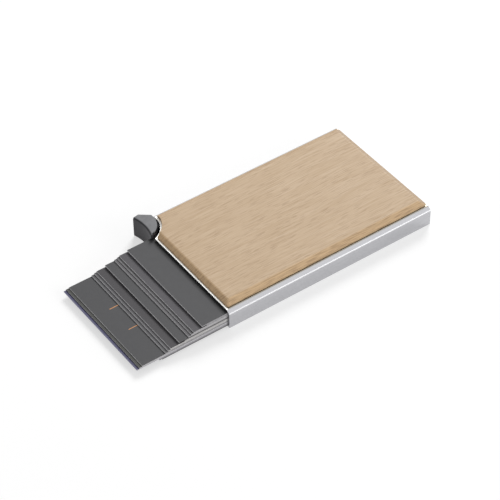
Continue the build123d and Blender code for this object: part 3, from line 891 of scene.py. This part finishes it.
def coil_mesh(start, along, length, radius, wire_radius, turns):
    """Round wire wound round an axis."""
    across = along.orthogonal().normalized()
    third = along.cross(across)
    tilts = [2 * math.pi * side / WIRE_SIDES for side in range(WIRE_SIDES)]
    mesh = bmesh.new()
    rings = []
    for step in range(turns * COIL_STEPS + 1):
        angle = 2 * math.pi * step / COIL_STEPS
        outward = across * math.cos(angle) + third * math.sin(angle)
        centre = start + along * (length * step / (turns * COIL_STEPS)) + outward * radius
        sides = [outward * math.cos(tilt) + along * math.sin(tilt) for tilt in tilts]
        rings.append([mesh.verts.new(centre + side * wire_radius) for side in sides])
    close_rings(mesh, rings)
    bmesh.ops.recalc_face_normals(mesh, faces=mesh.faces)
    return mesh


def springs(material):
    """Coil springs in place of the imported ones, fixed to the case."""
    for node, along, turns, wire_radius, joint, stroke, fixed_end in SPRINGS:
        low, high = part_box(node)
        middle = (low + high) / 2
        reach = (high - low).dot(along)
        radius = (high.z - low.z) / 2 - wire_radius
        length = reach - 2 * wire_radius
        start = middle - along * (length / 2)
        mesh = coil_mesh(start, along, length, radius, wire_radius, turns)
        piece = piece_from(mesh, node + "_coil", material)
        for face in piece.data.polygons:
            face.use_smooth = True
        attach(piece, "case")
        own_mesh(piece)
        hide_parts(node)


def camera():
    """The camera that took the photograph, as the scene's camera."""
    azimuth = math.radians(CAMERA_AZIMUTH)
    elevation = math.radians(CAMERA_ELEVATION)
    roll = math.radians(CAMERA_ROLL)
    back = Vector((
        math.sin(azimuth) * math.cos(elevation), -math.cos(azimuth) * math.cos(elevation),
        math.sin(elevation),
    ))
    right = Vector((math.cos(azimuth), math.sin(azimuth), 0))
    up = back.cross(right)
    turned_right = right * math.cos(roll) + up * math.sin(roll)
    turned_up = up * math.cos(roll) - right * math.sin(roll)
    lens = bpy.data.cameras.new("camera")
    lens.sensor_width = SENSOR_WIDTH
    lens.lens = FOCAL_LENGTH
    lens.clip_start = CLIP_START
    lens.clip_end = CLIP_END
    eye = bpy.data.objects.new("camera", lens)
    bpy.context.scene.collection.objects.link(eye)
    turn = Matrix((turned_right, turned_up, back)).transposed().to_4x4()
    eye.matrix_world = Matrix.Translation(CAMERA_TARGET + back * CAMERA_DISTANCE) @ turn
    bpy.context.scene.camera = eye


def area_light(name, direction, distance, size, power):
    """A square softbox that faces the origin from a direction."""
    lamp = bpy.data.lights.new(name, "AREA")
    lamp.energy = power
    lamp.size = size
    made = bpy.data.objects.new(name, lamp)
    bpy.context.scene.collection.objects.link(made)
    aim = direction.normalized()
    turn = aim.to_track_quat("Z", "Y").to_matrix().to_4x4()
    made.matrix_world = Matrix.Translation(aim * distance) @ turn


def seen(tree, unseen_level, seen_level):
    """A level for the rays that see (camera, reflections, clear pieces), and one for the rest."""
    rays = tree.nodes.new("ShaderNodeLightPath")
    any_of = rays.outputs["Is Camera Ray"]
    for kind in ("Is Glossy Ray", "Is Transmission Ray"):
        either = tree.nodes.new("ShaderNodeMath")
        either.operation = "MAXIMUM"
        tree.links.new(any_of, either.inputs[0])
        tree.links.new(rays.outputs[kind], either.inputs[1])
        any_of = either.outputs[0]
    level = tree.nodes.new("ShaderNodeMapRange")
    level.inputs["To Min"].default_value = unseen_level
    level.inputs["To Max"].default_value = seen_level
    tree.links.new(any_of, level.inputs["Value"])
    return level.outputs["Result"]


def background():
    """A surround that the camera and reflections see as white, and that lights at a lower level."""
    world = bpy.data.worlds.new("surround")
    world.use_nodes = True
    bpy.context.scene.world = world
    tree = world.node_tree
    surround = tree.nodes["Background"]
    surround.inputs["Color"].default_value = (1, 1, 1, 1)
    tree.links.new(seen(tree, WORLD_LEVEL, 1.0), surround.inputs["Strength"])


def floor():
    """A plain pale floor that takes the object's shadow."""
    mesh = bmesh.new()
    bmesh.ops.create_grid(mesh, x_segments=1, y_segments=1, size=FLOOR_SIZE / 2)
    bmesh.ops.translate(mesh, verts=mesh.verts, vec=(0, 0, -FLOOR_DROP))
    pale = Shader("floor", FLOOR_COLOUR, roughness=0.9, specular=0.0)
    pale.surface.inputs["Emission Color"].default_value = (1, 1, 1, 1)
    pale.feed(pale.surface.inputs["Emission Strength"], seen(pale.tree, 0.0, FLOOR_LIFT))
    piece_from(mesh, "floor", pale.material)


materials = dress()
wood_panel(materials["wood_panel"])
thumb_piece(materials["trigger"])
springs(materials["drive_spring"])
camera()
background()
floor()
area_light("key", KEY_DIRECTION, KEY_DISTANCE, KEY_SIZE, KEY_POWER)
area_light("side", SIDE_DIRECTION, SIDE_DISTANCE, SIDE_SIZE, SIDE_POWER)
bpy.context.scene.view_settings.view_transform = "Standard"
